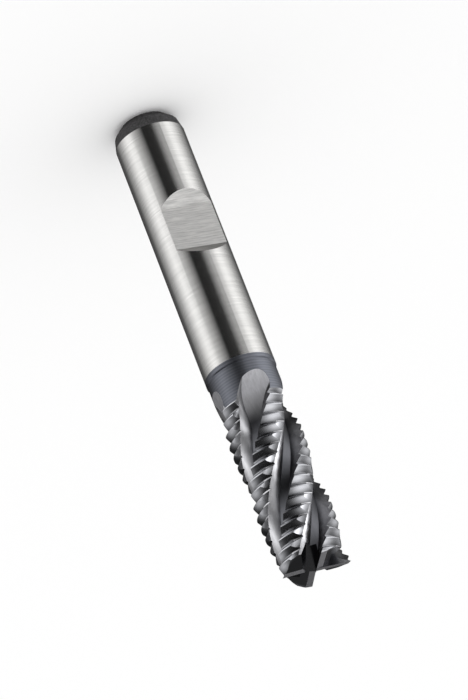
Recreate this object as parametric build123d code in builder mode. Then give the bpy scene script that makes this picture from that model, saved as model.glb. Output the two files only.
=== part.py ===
from build123d import *
from build123d.topology import SkipClean
from math import sin, cos, tan, radians, hypot, exp, sqrt
import os

os.makedirs("parts", exist_ok=True)

# Four-flute roughing end mill in one piece. Millimetres. The tool axis is Z,
# z = 0 is the end face of the shank and +Z points to the cutting end.

# Main sizes
overall_length = 72.0
shank_d = 10.0
shank_length = 41.5
neck_d = 9.68
neck_step = 0.16
neck_length = 5.1
cutter_d = 10.2
flutes = 4

# Plain end of the shank: a 45 degree chamfer and then a slight lead-in taper
end_face_d = 7.1
lead_in_d = 9.3
lead_in_z = 1.15
full_d_z = 2.75

# Side-lock flat, facing +X
flat_from_axis = 3.3
flat_length = 6.8
flat_center_z = 19.0
flat_end_slope = 45.0
flat_fillet = 0.30

# Helix, right hand
knuckle_pitch = 1.5
lead = 30.0 * knuckle_pitch
turn_per_mm = 360.0 / lead
edge_azimuth = 8.8
tooth_step = 360.0 / flutes

# Land behind each cutting edge: an arc with its centre off the tool axis, so
# that the radius falls away from the edge
land_offset = 0.28
land_offset_azimuth = 70.0
land_arc = 28.0
edge_overlap = 3.0

# Flute floor and walls, angles counted back from the cutting edge ahead
core_r = 3.05
floor_azimuth = -71.0
crease_azimuth = -61.0
floor_end_azimuth = -83.0
facet_share = 0.45
facet_fullness = 0.070
heel_fullness = 0.042
clear_r = 8.0

# Run-out of the flutes towards the shank, as the path of a grinding wheel
runout_from_z = shank_length + 10.0
runout_r = 19.5
runout_end_z = shank_length + 0.3
runout_floor_shift = 22.0
runout_crease_shift = 31.0

# Knuckles on the lands: a short flank to the shank, a long one to the tip and
# a narrow flat at the root
knuckle_height = 0.56
short_flank = 0.55
root_flat = 0.14
crest_flat = 0.20
groove_end_ahead = 12.0
groove_arc = 76.0
first_groove = (1.07, 0.32)

# End teeth
end_dish = 1.5
primary_width = 0.9
primary_relief = 7.0
secondary_relief = 20.0
gash_rake = 8.0
gash_slope = 30.0
gash_depth = 0.5
gash_width = 1.45
gash_wall = 40.0
gash_starts = (-0.6, 1.9, 0.95, 1.9)
corner_chamfer = 0.2

shank_r = shank_d / 2
neck_r = neck_d / 2
cutter_r = cutter_d / 2
lands_start_z = shank_length + neck_length


def polar(radius, azimuth):
    return (radius * cos(radians(azimuth)), radius * sin(radians(azimuth)))


def pushed_out(a, b, share, fullness):
    """Point a share of the way from a to b, pushed out to the left of it.

    The push is the fullness times the squared distance from a to b."""
    dx, dy = b[0] - a[0], b[1] - a[1]
    length = hypot(dx, dy)
    push = fullness * length
    return (a[0] + share * dx - dy * push, a[1] + share * dy + dx * push)


def edge_angle(z):
    """Azimuth of the first cutting edge at height z."""
    return edge_azimuth - (overall_length - z) * turn_per_mm


def off_centre_r(radius_at_edge, azimuth):
    """Radius of the off-centre land arc, azimuth counted from the edge."""
    c = land_offset * cos(radians(land_offset_azimuth))
    return radius_at_edge - c + land_offset * cos(radians(azimuth - land_offset_azimuth))


def lift_at(z):
    """How far the flute floor has risen at height z in the run-out."""
    d = max(0.0, runout_from_z - z)
    return runout_r - sqrt(runout_r ** 2 - d ** 2)


def flute_section(z):
    """Corner points of the space between two cutting edges at height z."""
    lift = lift_at(z)
    floor_r = core_r + lift
    normal = floor_azimuth + runout_floor_shift * (1 - exp(-lift / 0.30))
    crease = crease_azimuth + runout_crease_shift * (1 - exp(-lift / 0.35))
    land_a = polar(off_centre_r(cutter_r, edge_overlap), edge_overlap)
    land_m = polar(off_centre_r(cutter_r, -land_arc / 2), -land_arc / 2)
    land_b = polar(off_centre_r(cutter_r, -land_arc), -land_arc)
    floor_a = polar(floor_r / cos(radians(crease - normal)), crease)
    floor_b = polar(floor_r / cos(radians(floor_end_azimuth - normal)), floor_end_azimuth)
    facet_b = pushed_out(land_b, floor_a, facet_share, facet_fullness)
    heel_m = pushed_out(facet_b, floor_a, 0.5, heel_fullness)
    edge_b = polar(cutter_r + 0.25 * lift ** 2, -tooth_step)
    out_b = (edge_b[0] + 0.25, edge_b[1] - 0.8)
    out_c = polar(clear_r, -tooth_step + 12)
    out_m = polar(clear_r, -tooth_step / 2)
    out_d = polar(clear_r, edge_overlap)
    return (land_a, land_m, land_b, facet_b, heel_m, floor_a, floor_b, edge_b, out_b, out_c,
            out_m, out_d)


def flute_face(z):
    """Cross-section of the space of one flute at height z."""
    p = flute_section(z)
    with BuildSketch(Plane.XY.offset(z).rotated((0, 0, edge_angle(z)))) as section:
        with BuildLine():
            ThreePointArc(p[0], p[1], p[2])
            Line(p[2], p[3])
            ThreePointArc(p[3], p[4], p[5])
            Line(p[5], p[6])
            Line(p[6], p[7])
            Line(p[7], p[8])
            Line(p[8], p[9])
            ThreePointArc(p[9], p[10], p[11])
            Line(p[11], p[0])
        make_face()
    return section.sketch.faces()[0]


# Space of one flute: turned sections joined up the run-out, and above it one
# section that climbs and turns with the helix
runout_steps = 10
runout_rise = (runout_from_z - runout_end_z) / runout_steps
helix_rise = overall_length + 1.2 - runout_from_z

with BuildPart() as runout:
    loft([flute_face(runout_end_z + i * runout_rise) for i in range(runout_steps + 1)])

with BuildPart() as helix:
    add(Solid.extrude_linear_with_rotation(
        flute_face(runout_from_z), center=(0, 0, runout_from_z), normal=(0, 0, helix_rise),
        angle=helix_rise * turn_per_mm))

# One groove between two knuckles, as a part turn about the off-centre axis
ring_r = cutter_r - land_offset * cos(radians(land_offset_azimuth))
root_r = ring_r - knuckle_height
long_flank = knuckle_pitch - short_flank - crest_flat
clear = 0.08

with BuildPart() as groove:
    with BuildSketch(Plane.XZ):
        with BuildLine() as profile:
            Polyline((ring_r + clear, short_flank * (1 + clear / knuckle_height)),
                     (root_r, root_flat / 2), (root_r, -root_flat / 2),
                     (ring_r + clear, -long_flank * (1 + clear / knuckle_height)))
            Line(profile.line @ 0, profile.line @ 1)
        make_face()
    revolve(axis=Axis.Z, revolution_arc=groove_arc)


def groove_places():
    """Places of all grooves: neighbouring lands are half a pitch apart."""
    places = []
    for land in range(flutes):
        z = overall_length - first_groove[land % 2]
        while z > lands_start_z + 0.2:
            a = edge_angle(z) + land * tooth_step
            x, y = polar(land_offset, a + land_offset_azimuth)
            places.append(Location((x, y, z), (0, 0, a + groove_end_ahead - groove_arc)))
            z -= knuckle_pitch
    return places


def local_frame(azimuth):
    """Frame of one end tooth: X out along its edge, Y ahead of the edge."""
    return Plane(origin=(0, 0, overall_length),
                 x_dir=(cos(radians(azimuth)), sin(radians(azimuth)), 0), z_dir=(0, 0, 1))


def end_relief(azimuth):
    """Room above the two relief faces behind one end edge."""
    frame = local_frame(azimuth)
    reach = cutter_r + 1.0
    start = 0.05
    low = -(cutter_r - start) * tan(radians(end_dish))
    w = primary_width
    d1 = w * tan(radians(primary_relief))
    d2 = d1 + (reach - w) * tan(radians(secondary_relief))
    section = Plane(origin=frame.from_local_coords((start, 0, low)),
                    x_dir=frame.y_dir, z_dir=frame.x_dir)
    with BuildPart() as room:
        with BuildSketch(section):
            with BuildLine():
                Polyline((0.1, 0), (0, 0), (-w, -d1), (-reach, -d2), (-reach, 2), (0.1, 2),
                         close=True)
            make_face()
        along = frame.x_dir + frame.z_dir * tan(radians(end_dish))
        extrude(amount=(reach - start) / cos(radians(end_dish)), dir=along)
    return room.part


def end_gash(azimuth, start):
    """Notch in front of one end edge, running down and out from the centre."""
    frame = local_frame(azimuth)
    slope = tan(radians(gash_slope))
    rake = tan(radians(gash_rake))
    deep = gash_depth + start * slope
    floor = (-deep * rake, -deep)
    far = (floor[0] + gash_width, -deep)
    top = 2.0
    section = Plane(origin=frame.from_local_coords((start, 0, 0)),
                    x_dir=frame.y_dir, z_dir=frame.x_dir)
    with BuildPart() as notch:
        with BuildSketch(section):
            with BuildLine():
                rise = top + deep + 6
                Polyline(floor, far, (far[0] + rise * tan(radians(gash_wall)), top + 6),
                         (floor[0] + rise * rake, top + 6), close=True)
            make_face()
        along = frame.x_dir - frame.y_dir * (slope * rake) - frame.z_dir * slope
        extrude(amount=8.0, dir=along)
    return notch.part


# Outlines of the turned blank and of the flat, as (x, z)
shank_outline = (
    (0, 0), (end_face_d / 2, 0), (lead_in_d / 2, lead_in_z), (shank_r, full_d_z),
    (shank_r, flat_center_z), (0, flat_center_z))
blank_r = cutter_r + 0.25
cutter_outline = (
    (0, flat_center_z), (shank_r, flat_center_z), (shank_r, shank_length),
    (neck_r, shank_length + neck_step), (neck_r, lands_start_z),
    (blank_r, lands_start_z + 0.4), (blank_r, overall_length - corner_chamfer - 0.25),
    (cutter_r - corner_chamfer, overall_length), (0, overall_length))
flat_reach = 3.0
flat_rise = flat_length / 2 + flat_reach * tan(radians(flat_end_slope))
flat_outline = (
    (flat_from_axis, flat_center_z - flat_length / 2),
    (flat_from_axis, flat_center_z + flat_length / 2),
    (flat_from_axis + flat_reach, flat_center_z + flat_rise),
    (flat_from_axis + flat_reach, flat_center_z - flat_rise))

with SkipClean(), BuildPart() as endmill:
    # Turned blank, in two lengths that meet at the middle of the flat
    for outline in (shank_outline, cutter_outline):
        with BuildSketch(Plane.XZ):
            with BuildLine():
                Polyline(*outline, close=True)
            make_face()
        revolve(axis=Axis.Z, clean=False)

    # Side-lock flat with sloping ends, rounded where they meet it
    with BuildSketch(Plane.XZ):
        with BuildLine() as flat_line:
            Polyline(*flat_outline, close=True)
            fillet(flat_line.vertices().sort_by(Axis.X)[:2], flat_fillet)
        make_face()
    extrude(amount=shank_r + 1, both=True, mode=Mode.SUBTRACT, clean=False)

    # Four helical flutes, and then the grooves between the knuckles
    for k in range(flutes):
        for space in (runout.part, helix.part):
            add(space.rotate(Axis.Z, k * tooth_step), mode=Mode.SUBTRACT, clean=False)
    add([groove.part.moved(place) for place in groove_places()], mode=Mode.SUBTRACT,
        clean=False)

    # End teeth
    for k in range(flutes):
        azimuth = edge_azimuth + k * tooth_step
        add(end_relief(azimuth), mode=Mode.SUBTRACT, clean=False)
        add(end_gash(azimuth, gash_starts[k]), mode=Mode.SUBTRACT, clean=False)

endmill.part.label = "endmill"
export_step(endmill.part, "parts/endmill.step")
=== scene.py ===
import math

import bpy
from mathutils import Euler, Matrix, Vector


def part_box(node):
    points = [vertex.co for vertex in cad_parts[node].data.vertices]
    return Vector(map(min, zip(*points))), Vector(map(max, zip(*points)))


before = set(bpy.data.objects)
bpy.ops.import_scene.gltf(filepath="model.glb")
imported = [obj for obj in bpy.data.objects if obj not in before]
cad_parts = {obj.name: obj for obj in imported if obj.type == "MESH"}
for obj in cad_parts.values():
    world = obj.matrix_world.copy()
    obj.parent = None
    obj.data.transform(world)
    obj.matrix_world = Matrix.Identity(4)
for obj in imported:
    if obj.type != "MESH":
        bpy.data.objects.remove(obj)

bl_info = {
    "name": "Roughing End Mill",
    "version": (1, 0, 0),
    "blender": (4, 5, 0),
    "location": "View3D > Sidebar > End Mill",
    "description": "Finishes, studio and camera for a four-flute roughing end mill",
    "category": "Object",
}

MM = 0.001
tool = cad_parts["endmill"]
foot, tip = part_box("endmill")
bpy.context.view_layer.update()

# Roughness of each surface as its maker leaves it
FINE_GROUND = 0.18
POLISHED = 0.30
COATED = 0.38
FACE_GROUND = 0.38
COARSE_GROUND = 0.5
SCALE_DULL = 0.6
RUN_OUT_DULL = 0.7

# How deep the scratches of grinding are drawn, and how long they run on each surface
SCRATCH_DEPTH = 0.01 * MM
ROUND_SCRATCH = 6.67 * MM
FLAT_SCRATCH = 3.33 * MM
FLUTE_SCRATCH = 2.5 * MM
LAND_SCRATCH = 1.43 * MM


def linear(code):
    """Linear colour of an sRGB hex value such as #c8c9cb."""
    parts = [int(code[i:i + 2], 16) / 255 for i in (1, 3, 5)]
    return tuple(c / 12.92 if c <= 0.04045 else ((c + 0.055) / 1.055) ** 2.4 for c in parts)


def add(tree, kind, inputs=None, **settings):
    """A node with its settings; each input is given a value or the socket that feeds it."""
    node = tree.nodes.new(kind)
    for name, value in settings.items():
        setattr(node, name, value)
    for socket, value in (inputs or {}).items():
        if isinstance(value, bpy.types.NodeSocket):
            tree.links.new(value, node.inputs[socket])
        else:
            node.inputs[socket].default_value = value
    return node


class ENDMILL_PG_finish(bpy.types.PropertyGroup):
    """Sizes and colours of the tool's finishes."""

    dark_end: bpy.props.FloatProperty(
        name="Dark end", description="Height where the unground end of the shank stops",
        default=2.75 * MM, unit="LENGTH")
    coat_start: bpy.props.FloatProperty(
        name="Coating starts", description="Height on the shank where the coating begins",
        default=40.85 * MM, unit="LENGTH")
    shank_top: bpy.props.FloatProperty(
        name="Shank top", description="Height just above the step between shank and neck",
        default=41.75 * MM, unit="LENGTH")
    first_knuckle: bpy.props.FloatProperty(
        name="First knuckle", description="Height where the knuckled lands begin",
        default=46.5 * MM, unit="LENGTH")
    runout_top: bpy.props.FloatProperty(
        name="Run-out top", description="Height where half of the run-out's dullness is gone",
        default=48.0 * MM, unit="LENGTH")
    runout_fade: bpy.props.FloatProperty(
        name="Run-out fade", description="Height over which the run-out's dullness fades",
        default=4.0 * MM, unit="LENGTH")
    # Painted shade: below this height the flutes are darkened towards the neck, to 0.3 at the first
    # knuckle
    neck_shade_ends: bpy.props.FloatProperty(
        name="Flutes bright", description="Height from which the flutes are polished to the full",
        default=54.0 * MM, unit="LENGTH")

    flat_within: bpy.props.FloatProperty(
        name="Flat within", description="Faces of the flat lie nearer to the tool's axis than this",
        default=4.9 * MM, unit="LENGTH")
    neck_beyond: bpy.props.FloatProperty(
        name="Neck beyond", description="Faces round the neck lie further from the axis than this",
        default=4.7 * MM, unit="LENGTH")
    # The next two distances bound the painted shade in the lands' grooves, which darkens below the
    # crest down to the land foot
    crest: bpy.props.FloatProperty(
        name="Crest", description="Distance from the axis where the knuckles are fully bright",
        default=4.8 * MM, unit="LENGTH")
    land_foot: bpy.props.FloatProperty(
        name="Land foot", description="Distance from the axis where lands give way to flutes",
        default=4.4 * MM, unit="LENGTH")
    # The next two distances bound the painted shade at the bottom of the flutes, which is darkest at
    # the flute bottom
    flute_wall: bpy.props.FloatProperty(
        name="Flute wall", description="Distance from the axis where the flute walls are bright",
        default=4.0 * MM, unit="LENGTH")
    flute_bottom: bpy.props.FloatProperty(
        name="Flute bottom", description="Distance from the axis of the dark bottom of the flutes",
        default=3.1 * MM, unit="LENGTH")

    shank_lines: bpy.props.FloatProperty(
        name="Shank lines", description="Distance between the grinding lines round the shank",
        default=0.08 * MM, unit="LENGTH")
    neck_lines: bpy.props.FloatProperty(
        name="Neck lines", description="Distance between the turning lines round the neck",
        default=0.42 * MM, unit="LENGTH")
    flat_lines: bpy.props.FloatProperty(
        name="Flat lines", description="Distance between the grinding lines across the flat",
        default=0.22 * MM, unit="LENGTH")
    land_lines: bpy.props.FloatProperty(
        name="Land lines", description="Distance between the grinding lines on the lands",
        default=0.4 * MM, unit="LENGTH")
    flute_lines: bpy.props.FloatProperty(
        name="Flute lines", description="Distance between the grinding lines along the flutes",
        default=0.385 * MM, unit="LENGTH")
    speckles: bpy.props.FloatProperty(
        name="Speckles", description="Size of the patches in the scale on the shank's end",
        default=0.222 * MM, unit="LENGTH")

    steel: bpy.props.FloatVectorProperty(
        name="Ground steel", description="Colour of the bright shank",
        subtype="COLOR", default=linear("#e9e8e6"))
    scale: bpy.props.FloatVectorProperty(
        name="Hardening scale", description="Colour of the unground shank end",
        subtype="COLOR", default=linear("#3b3a3b"))
    coat: bpy.props.FloatVectorProperty(
        name="Coating", description="Colour of the hard coating on the neck",
        subtype="COLOR", default=linear("#8b8e97"))
    land: bpy.props.FloatVectorProperty(
        name="Lands", description="Colour of the ground knuckles and end teeth",
        subtype="COLOR", default=linear("#d6d7dc"))
    flute: bpy.props.FloatVectorProperty(
        name="Flutes", description="Colour of the polished flute walls",
        subtype="COLOR", default=linear("#f0f0f4"))
    # Painted shade: the colour that the flutes are darkened to at their bottom
    painted_flute_shade: bpy.props.FloatVectorProperty(
        name="Crease", description="Colour at the bottom of the flutes",
        subtype="COLOR", default=linear("#75767b"))


class ENDMILL_PG_studio(bpy.types.PropertyGroup):
    """Floor, light tent and camera."""

    floor_size: bpy.props.FloatProperty(
        name="Floor", description="Side of the square floor", default=6.0, unit="LENGTH")
    floor_colour: bpy.props.FloatVectorProperty(
        name="Floor colour", description="Colour of the floor", subtype="COLOR",
        default=linear("#ffffff"))
    tent_radius: bpy.props.FloatProperty(
        name="Tent radius", description="Radius of the round light tent", default=2.0, unit="LENGTH")
    camera_place: bpy.props.FloatVectorProperty(
        name="Camera place", description="Where the camera stands",
        subtype="XYZ", unit="LENGTH", default=(505.40 * MM, 235.67 * MM, 313.71 * MM))
    camera_turn: bpy.props.FloatVectorProperty(
        name="Camera turn", description="How the camera is turned, so that the tip points down",
        subtype="EULER", default=[math.radians(angle) for angle in (-61.9938, -18.9984, -74.7877)])
    lens: bpy.props.FloatProperty(
        name="Lens", description="Focal length in millimetres", default=236.42, unit="CAMERA")


def metal(name, colour, rough):
    """A bare metal with one colour and one roughness, until nodes are linked to them."""
    material = bpy.data.materials.new(name)
    material.use_nodes = True
    surface = material.node_tree.nodes["Principled BSDF"]
    surface.inputs["Metallic"].default_value = 1.0
    surface.inputs["Base Color"].default_value = (*colour, 1)
    surface.inputs["Roughness"].default_value = rough
    return material, material.node_tree, surface


def streaks(tree, apart, detail=3.0):
    """Noise with a grain of the given sizes along X, Y and Z, which draws it out into lines."""
    place = add(tree, "ShaderNodeTexCoord").outputs["Object"]
    drawn = add(tree, "ShaderNodeVectorMath", {0: place, 1: [1 / gap for gap in apart]},
                operation="MULTIPLY")
    return add(tree, "ShaderNodeTexNoise", {"Vector": drawn.outputs[0], "Scale": 1.0,
                                            "Detail": detail, "Roughness": 0.65}).outputs["Fac"]


def shaded(tree, surface, colour, grain, darkest, lightest):
    """Base colour that grows darker and lighter with the grain, which is mostly 0.3 to 0.7."""
    tone = add(tree, "ShaderNodeMapRange", {"Value": grain, "From Min": 0.3, "From Max": 0.7,
                                            "To Min": darkest, "To Max": lightest}).outputs[0]
    base = add(tree, "ShaderNodeVectorMath", {0: colour, 1: tone}, operation="MULTIPLY")
    tree.links.new(base.outputs[0], surface.inputs["Base Color"])


def scratched(tree, surface, height, strength):
    """Shallow relief that follows the given height."""
    relief = add(tree, "ShaderNodeBump", {"Height": height, "Strength": strength,
                                          "Distance": SCRATCH_DEPTH})
    tree.links.new(relief.outputs[0], surface.inputs["Normal"])


def from_axis(tree, place):
    """Distance from the tool's axis, and the direction straight away from it."""
    across = add(tree, "ShaderNodeVectorMath", {0: place, 1: (1, 1, 0)},
                 operation="MULTIPLY").outputs[0]
    radius = add(tree, "ShaderNodeVectorMath", {0: across}, operation="LENGTH").outputs["Value"]
    outward = add(tree, "ShaderNodeVectorMath", {0: across}, operation="NORMALIZE").outputs[0]
    return radius, outward


def ground_round(finish):
    """Tool steel ground between centres, and turned and coated from the neck on.

    The fine lines run round the tool, so lights are drawn out along it and stay
    sharp across it. The coating is thin, dark and blue-grey, as a nitride is."""
    material, tree, surface = metal("ground_tool_steel_shank", finish.steel, FINE_GROUND)
    surface.inputs["Anisotropic"].default_value = 0.85
    surface.inputs["Anisotropic Rotation"].default_value = 0.25
    round_axis = add(tree, "ShaderNodeTangent", direction_type="RADIAL", axis="Z")
    tree.links.new(round_axis.outputs[0], surface.inputs["Tangent"])
    place = add(tree, "ShaderNodeTexCoord").outputs["Object"]
    height = add(tree, "ShaderNodeSeparateXYZ", {0: place}).outputs["Z"]
    coated = add(tree, "ShaderNodeMath", {0: height, 1: finish.coat_start},
                 operation="GREATER_THAN").outputs[0]
    base = add(tree, "ShaderNodeMix", {0: coated, 6: (*finish.steel, 1), 7: (*finish.coat, 1)},
               data_type="RGBA").outputs[2]
    dull = add(tree, "ShaderNodeMapRange", {"Value": coated, "To Min": FINE_GROUND,
                                            "To Max": COATED})
    tree.links.new(dull.outputs[0], surface.inputs["Roughness"])

    # Real grinding lines are about 0.02 mm apart, too fine to see here, so they are drawn
    # coarser, and so are the turning lines on the neck
    grain = streaks(tree, (ROUND_SCRATCH, ROUND_SCRATCH, finish.shank_lines))
    turns = add(tree, "ShaderNodeMath", {0: height, 1: 2 * math.pi / finish.neck_lines},
                operation="MULTIPLY").outputs[0]
    thread = add(tree, "ShaderNodeMath", {0: turns}, operation="SINE").outputs[0]
    turned = add(tree, "ShaderNodeMath", {0: thread, 1: coated}, operation="MULTIPLY").outputs[0]
    lines = add(tree, "ShaderNodeMath", {0: turned, 1: 0.25, 2: grain},
                operation="MULTIPLY_ADD").outputs[0]
    shaded(tree, surface, base, lines, darkest=0.86, lightest=1.08)
    scratched(tree, surface, lines, strength=0.15)
    return material


def hardening_scale(finish):
    """Black iron oxide left on the unground end: dull, dark grey and finely speckled."""
    material, tree, surface = metal("black_hardening_scale", finish.scale, SCALE_DULL)
    surface.inputs["Metallic"].default_value = 0.0
    speckle = streaks(tree, [finish.speckles] * 3)
    shaded(tree, surface, finish.scale, speckle, darkest=0.1, lightest=2.0)
    return material


def ground_flat(finish):
    """The same steel ground straight across by the face of a wheel: paler, with crosswise lines.

    The lines are drawn coarser than real ones, which are too fine to see here."""
    material, tree, surface = metal("ground_tool_steel_flat", finish.steel, FACE_GROUND)
    grain = streaks(tree, (FLAT_SCRATCH, FLAT_SCRATCH, finish.flat_lines), detail=5.0)
    shaded(tree, surface, finish.steel, grain, darkest=0.70, lightest=1.22)
    scratched(tree, surface, grain, strength=0.6)
    return material


def ground_lands(finish):
    """Knuckled lands and end teeth, form-ground: full colour on the crests, with painted shade that
    darkens the grooves and the teeth near the axis.
    """
    material, tree, surface = metal("form_ground_steel_lands_painted_shade", finish.land, FINE_GROUND)
    place = add(tree, "ShaderNodeTexCoord").outputs["Object"]
    radius, _ = from_axis(tree, place)
    # Painted shade: the colour falls to 0.35 from the crests down to the foot of the lands, and
    # stays there nearer the axis
    lit = add(tree, "ShaderNodeMapRange", {"Value": radius, "From Min": finish.land_foot,
                                           "From Max": finish.crest, "To Min": 0.35}).outputs[0]
    base = add(tree, "ShaderNodeVectorMath", {0: finish.land, 1: lit}, operation="MULTIPLY")
    tree.links.new(base.outputs[0], surface.inputs["Base Color"])
    grain = streaks(tree, (finish.land_lines, finish.land_lines, LAND_SCRATCH))
    scratched(tree, surface, grain, strength=0.12)
    return material


def polished_flutes(finish):
    """Flute walls polished for the chips to slide: bright, with painted shade at the bottom, on the
    faces ahead and near the neck.

    Their run-out is left as the wheel ground it: pale, dull and scratched."""
    material, tree, surface = metal("polished_steel_flutes_painted_shade", finish.flute, POLISHED)
    object_space = add(tree, "ShaderNodeTexCoord")
    place, facing = object_space.outputs["Object"], object_space.outputs["Normal"]
    height = add(tree, "ShaderNodeSeparateXYZ", {0: place}).outputs["Z"]
    radius, outward = from_axis(tree, place)
    ahead = add(tree, "ShaderNodeVectorMath", {0: (0, 0, 1), 1: outward},
                operation="CROSS_PRODUCT").outputs[0]
    facing_out = add(tree, "ShaderNodeVectorMath", {0: facing, 1: outward},
                     operation="DOT_PRODUCT").outputs["Value"]
    facing_ahead = add(tree, "ShaderNodeVectorMath", {0: facing, 1: ahead},
                       operation="DOT_PRODUCT").outputs["Value"]

    # The walls get painted shade: dark at the bottom, half as bright on the rake faces, and dim near
    # the neck
    painted_bottom_fade = add(tree, "ShaderNodeMapRange", {"Value": radius, "From Min": finish.flute_bottom,
                                               "From Max": finish.flute_wall}).outputs[0]
    wall_with_painted_shade = add(tree, "ShaderNodeMix", {0: painted_bottom_fade, 6: (*finish.painted_flute_shade, 1), 7: (*finish.flute, 1)},
               data_type="RGBA").outputs[2]
    # Painted shade: faces that look ahead, the rake faces, are darkened to half
    rake = add(tree, "ShaderNodeMapRange", {"Value": facing_ahead, "From Min": 0.2, "From Max": 0.7,
                                            "To Min": 1.0, "To Max": 0.5}).outputs[0]
    # Painted shade that deepens from full colour to 0.3 towards the neck
    painted_neck_shade = add(tree, "ShaderNodeMapRange", {"Value": height, "From Min": finish.first_knuckle,
                                                 "From Max": finish.neck_shade_ends,
                                                 "To Min": 0.3}).outputs[0]
    wall_with_painted_shade = add(tree, "ShaderNodeVectorMath", {0: wall_with_painted_shade, 1: rake}, operation="MULTIPLY").outputs[0]
    wall_with_painted_shade = add(tree, "ShaderNodeVectorMath", {0: wall_with_painted_shade, 1: painted_neck_shade},
               operation="MULTIPLY").outputs[0]

    # The run-out: low on the flutes, on what faces away from the axis
    fade = finish.runout_fade / 2
    low_down = add(tree, "ShaderNodeMapRange", {"Value": height,
                                                "From Min": finish.runout_top - fade,
                                                "From Max": finish.runout_top + fade,
                                                "To Min": 1.0, "To Max": 0.0}).outputs[0]
    open_floor = add(tree, "ShaderNodeMapRange", {"Value": facing_out, "From Min": 0.6,
                                                  "From Max": 0.75}).outputs[0]
    runout = add(tree, "ShaderNodeMath", {0: low_down, 1: open_floor},
                 operation="MULTIPLY").outputs[0]
    base = add(tree, "ShaderNodeMix", {0: runout, 6: wall_with_painted_shade, 7: (*finish.flute, 1)},
               data_type="RGBA").outputs[2]
    rough = add(tree, "ShaderNodeMapRange", {"Value": runout, "To Min": POLISHED,
                                             "To Max": RUN_OUT_DULL})
    tree.links.new(rough.outputs[0], surface.inputs["Roughness"])
    scratch = add(tree, "ShaderNodeMapRange", {"Value": runout, "To Min": 0.08,
                                               "To Max": 1.0}).outputs[0]
    grain = streaks(tree, (finish.flute_lines, finish.flute_lines, FLUTE_SCRATCH), detail=5.0)
    shaded(tree, surface, base, grain, darkest=0.88, lightest=1.08)
    scratched(tree, surface, grain, strength=scratch)
    return material


def ground_reliefs(finish):
    """Narrow reliefs behind the end edges, ground last with a coarser wheel: pale and dull."""
    material, tree, surface = metal("ground_tool_steel_end_reliefs", finish.flute, COARSE_GROUND)
    grain = streaks(tree, (finish.flute_lines, finish.flute_lines, FLUTE_SCRATCH))
    scratched(tree, surface, grain, strength=0.4)
    return material


FINISHES = (ground_round, hardening_scale, ground_flat, ground_lands, polished_flutes,
            ground_reliefs)


def finish_of(face, finish):
    """The finish that a face of the tool takes, by where it lies and which way it faces."""
    place, normal = face.center, face.normal
    outward = math.hypot(place.x, place.y)
    facing_out = (place.x * normal.x + place.y * normal.y) / max(outward, 0.1 * MM)
    turned = abs(normal.z) < 0.01 and facing_out > 0.97
    on_end = normal.z > 0.97
    on_side = normal.z < 0.5
    hollow = outward < finish.land_foot or facing_out < 0.6
    if place.z < finish.dark_end:
        return hardening_scale
    if place.z < finish.shank_top:
        on_flat = outward < finish.flat_within and place.z < finish.coat_start
        return ground_flat if on_flat else ground_round
    if place.z < finish.first_knuckle and turned and outward > finish.neck_beyond:
        return ground_round
    if on_end:
        return ground_reliefs
    if place.z < finish.first_knuckle or (on_side and hollow):
        return polished_flutes
    return ground_lands


class ENDMILL_OT_finish(bpy.types.Operator):
    """Give the shank, its end, the flat, the lands and the flutes their finishes"""

    bl_idname = "endmill.finish"
    bl_label = "Finish the Tool"

    def execute(self, context):
        finish = context.scene.endmill_finish
        mesh = tool.data
        mesh.materials.clear()
        for make in FINISHES:
            mesh.materials.append(make(finish))
        for face in mesh.polygons:
            face.material_index = FINISHES.index(finish_of(face, finish))
        taken = {face.material_index for face in mesh.polygons}
        if len(taken) < len(FINISHES):
            raise RuntimeError("a finish has no face of the tool to go on")
        return {"FINISHED"}


# What the tool reflects is a round tent of white cloth, described by angles in degrees: the
# turn round the tool from the camera's side, and the climb above level.

# Soft fields: turn, climb, half the width, half the height, and the brightness at the middle.
# The last three light the gashes, the backs of the end teeth and the run-out.
TENT_FIELDS = (
    (-100, 4, 34, 13, 2.4),
    (-70, 50, 36, 22, 1.2),
    (62, 6, 24, 14, 0.5),
    (-30, 3, 18, 8, 2.7),
    (38, 21, 18, 11, 1.5),
    (112, 34, 26, 14, 0.7),
    (-152, 26, 20, 12, 0.5),
    (0, -90, 400, 14, 0.5),
    (-150, 62, 40, 24, 0.05),
    (168, 26, 26, 14, 0.035),
    (8, 11, 13, 6, 1.1),
)
# The band below level that the shank sees: turn to either side of its middle, and brightness
TENT_SIDES = ((0, 0.002), (15, 0.002), (22, 0.13), (48, 0.60), (64, 1.06), (76, 1.12), (92, 0.84),
              (108, 0.48), (140, 0.08), (180, 0.03))
# The band's foot and brow: the climbs between which it comes up and goes down
BAND_FOOT = (-58, -42)
BAND_BROW = (-18, -6)
# The shank leans away from the camera's line, so its dark stripe lies to one side
STRIPE_ASIDE = 5
# Brightness of the cloth where no light falls on it
TENT_SHADE = 0.015


def soft_field(tree, turn, climb, field):
    """Brightness of one soft field of the tent, down to 1/e at half its width or height."""
    side, rise, width, height = [math.radians(angle) for angle in field[:4]]
    strength = field[4]
    near = add(tree, "ShaderNodeMath", {0: turn, 1: side + math.pi, 2: side - math.pi},
               operation="WRAP").outputs[0]
    across = add(tree, "ShaderNodeMath", {0: near, 1: 1 / width, 2: -side / width},
                 operation="MULTIPLY_ADD").outputs[0]
    up = add(tree, "ShaderNodeMath", {0: climb, 1: 1 / height, 2: -rise / height},
             operation="MULTIPLY_ADD").outputs[0]
    reach = add(tree, "ShaderNodeCombineXYZ", {"X": across, "Y": up}).outputs[0]
    apart = add(tree, "ShaderNodeVectorMath", {0: reach, 1: reach},
                operation="DOT_PRODUCT").outputs["Value"]
    fade = add(tree, "ShaderNodeMath", {0: math.exp(-1), 1: apart}, operation="POWER").outputs[0]
    return add(tree, "ShaderNodeMath", {0: fade, 1: strength}, operation="MULTIPLY").outputs[0]


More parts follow.
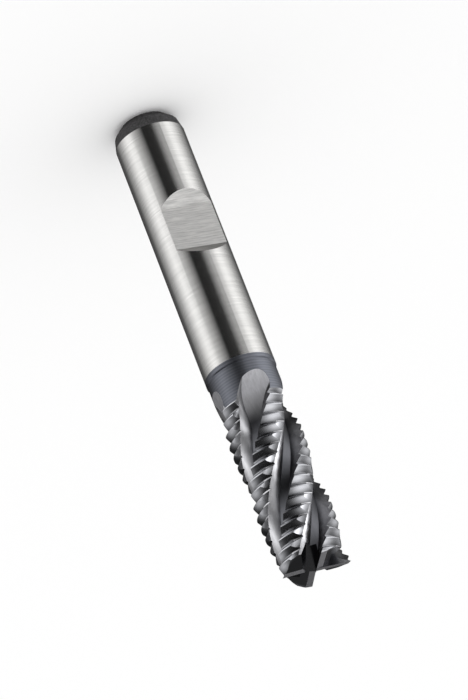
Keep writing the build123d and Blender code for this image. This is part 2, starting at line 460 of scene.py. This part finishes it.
def shank_band(tree, turn, climb):
    """Brightness of the band that the shank sees, dark straight in front of it."""
    aside = add(tree, "ShaderNodeMath", {0: turn, 1: math.radians(STRIPE_ASIDE)},
                operation="ADD").outputs[0]
    aside = add(tree, "ShaderNodeMath", {0: aside}, operation="ABSOLUTE").outputs[0]
    share = add(tree, "ShaderNodeMath", {0: aside, 1: math.pi}, operation="DIVIDE").outputs[0]
    ramp = add(tree, "ShaderNodeValToRGB", {"Fac": share})
    stops = ramp.color_ramp.elements
    while len(stops) < len(TENT_SIDES):
        stops.new(0.5)
    for stop, (angle, strength) in zip(stops, TENT_SIDES):
        stop.position = angle / 180
        stop.color = (strength, strength, strength, 1)
    foot_low, foot_high = [math.radians(angle) for angle in BAND_FOOT]
    brow_low, brow_high = [math.radians(angle) for angle in BAND_BROW]
    above_foot = add(tree, "ShaderNodeMapRange", {"Value": climb, "From Min": foot_low,
                                                  "From Max": foot_high}).outputs[0]
    below_brow = add(tree, "ShaderNodeMapRange", {"Value": climb, "From Min": brow_low,
                                                  "From Max": brow_high, "To Min": 1.0,
                                                  "To Max": 0.0}).outputs[0]
    band = add(tree, "ShaderNodeMath", {0: above_foot, 1: below_brow},
               operation="MULTIPLY").outputs[0]
    return add(tree, "ShaderNodeMath", {0: band, 1: ramp.outputs["Color"], 2: TENT_SHADE},
               operation="MULTIPLY_ADD").outputs[0]


def tent_cloth():
    """White cotton cloth lit from behind, which glows softly where a lamp stands behind it."""
    material = bpy.data.materials.new("white_cotton_tent")
    material.use_nodes = True
    tree = material.node_tree
    tree.nodes.clear()
    place = add(tree, "ShaderNodeTexCoord").outputs["Object"]
    way = add(tree, "ShaderNodeVectorMath", {0: place}, operation="NORMALIZE").outputs[0]
    xyz = add(tree, "ShaderNodeSeparateXYZ", {0: way})
    turn = add(tree, "ShaderNodeMath", {0: xyz.outputs["Y"], 1: xyz.outputs["X"]},
               operation="ARCTAN2").outputs[0]
    climb = add(tree, "ShaderNodeMath", {0: xyz.outputs["Z"]}, operation="ARCSINE").outputs[0]
    total = shank_band(tree, turn, climb)
    for field in TENT_FIELDS:
        total = add(tree, "ShaderNodeMath", {0: total, 1: soft_field(tree, turn, climb, field)},
                    operation="ADD").outputs[0]
    glow = add(tree, "ShaderNodeEmission", {"Strength": total})
    add(tree, "ShaderNodeOutputMaterial", {"Surface": glow.outputs[0]})
    return material


def lay_floor(studio):
    """A matt white floor, which the steel doesn't mirror."""
    bpy.ops.object.select_all(action="DESELECT")
    bpy.ops.mesh.primitive_plane_add(size=studio.floor_size, location=(0, 0, 0))
    floor = bpy.context.object
    floor.name = "floor"
    paint = bpy.data.materials.new("matt_white_paint")
    paint.use_nodes = True
    surface = paint.node_tree.nodes["Principled BSDF"]
    surface.inputs["Base Color"].default_value = (*studio.floor_colour, 1)
    surface.inputs["Roughness"].default_value = 0.9
    surface.inputs["Specular IOR Level"].default_value = 0.0
    floor.data.materials.append(paint)
    floor.visible_glossy = False


def hang_tent(studio):
    """The light tent round the middle of the tool, seen only as what the steel mirrors."""
    azimuth = math.atan2(studio.camera_place[1], studio.camera_place[0])
    bpy.ops.object.select_all(action="DESELECT")
    bpy.ops.mesh.primitive_uv_sphere_add(
        segments=64, ring_count=32, radius=studio.tent_radius,
        location=(0, 0, (foot.z + tip.z) / 2), rotation=(0, 0, azimuth))
    tent = bpy.context.object
    tent.name = "light_tent"
    tent.data.materials.append(tent_cloth())
    tent.visible_camera = False
    tent.visible_diffuse = False
    tent.visible_shadow = False


def light_world(scene):
    """Even white light from all round, for the floor and what is dull."""
    world = bpy.data.worlds.new("soft_white")
    scene.world = world
    world.use_nodes = True
    background = world.node_tree.nodes["Background"]
    background.inputs["Color"].default_value = (1, 1, 1, 1)
    background.inputs["Strength"].default_value = 1.0


def set_camera(scene, studio):
    """The camera with a long lens, rolled over so that the standing tool hangs tip down."""
    lens = bpy.data.cameras.new("camera")
    lens.lens = studio.lens
    lens.sensor_width = 36.0
    lens.clip_start = 0.01
    camera = bpy.data.objects.new("camera", lens)
    scene.collection.objects.link(camera)
    camera.matrix_world = (Matrix.Translation(studio.camera_place)
                           @ Euler(studio.camera_turn).to_matrix().to_4x4())
    scene.camera = camera
    scene.view_settings.view_transform = "Standard"


class ENDMILL_OT_stage(bpy.types.Operator):
    """Set up the floor, the light tent, the world and the camera"""

    bl_idname = "endmill.stage"
    bl_label = "Set the Stage"

    def execute(self, context):
        studio = context.scene.endmill_studio
        lay_floor(studio)
        hang_tent(studio)
        light_world(context.scene)
        set_camera(context.scene, studio)
        return {"FINISHED"}


class ENDMILL_PT_panel(bpy.types.Panel):
    """Sidebar panel with the steps in their order"""

    bl_idname = "ENDMILL_PT_panel"
    bl_label = "End Mill"
    bl_space_type = "VIEW_3D"
    bl_region_type = "UI"
    bl_category = "End Mill"

    def draw(self, context):
        self.layout.operator("endmill.finish")
        self.layout.operator("endmill.stage")


CLASSES = (ENDMILL_PG_finish, ENDMILL_PG_studio, ENDMILL_OT_finish, ENDMILL_OT_stage,
           ENDMILL_PT_panel)


def register():
    for cls in CLASSES:
        bpy.utils.register_class(cls)
    bpy.types.Scene.endmill_finish = bpy.props.PointerProperty(type=ENDMILL_PG_finish)
    bpy.types.Scene.endmill_studio = bpy.props.PointerProperty(type=ENDMILL_PG_studio)


def unregister():
    del bpy.types.Scene.endmill_studio
    del bpy.types.Scene.endmill_finish
    for cls in reversed(CLASSES):
        bpy.utils.unregister_class(cls)


def main():
    register()
    bpy.ops.endmill.finish()
    bpy.ops.endmill.stage()


if __name__ == "__main__":
    main()
